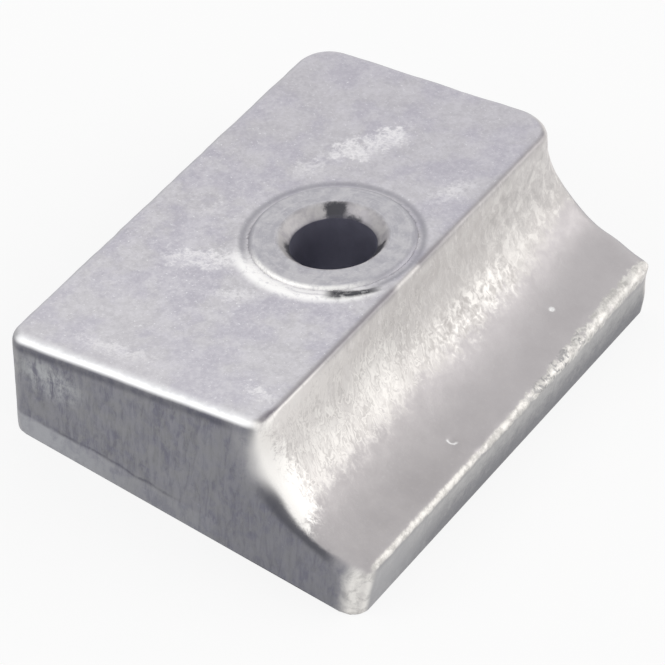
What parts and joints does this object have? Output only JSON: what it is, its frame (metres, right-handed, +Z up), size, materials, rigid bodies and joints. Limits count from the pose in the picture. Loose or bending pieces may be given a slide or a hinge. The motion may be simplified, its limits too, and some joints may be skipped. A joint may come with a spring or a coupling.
{
  "type": "sacrificial anode",
  "caption": "Wedge-shaped zinc sacrificial anode block with a cove beside its thin lip and a cast-in steel bush for the mounting bolt.",
  "frame": {"origin": "where the bolt axis crosses the flat mounting face under the block", "axes": "+Z up from the mounting face, +Y along the block's length and the cove, +X from the tall square heel to the thin lip; the bolt axis leans 12 degrees from +Z towards -X"},
  "size_m": [0.0439, 0.058, 0.0182],
  "materials": {
    "zinc": "cast, satin",
    "bush_steel": "turned, zinc plated"
  },
  "bodies": {
    "root": {"anode_block": "zinc", "insert_bush": "bush_steel"}
  },
  "joints": []
}
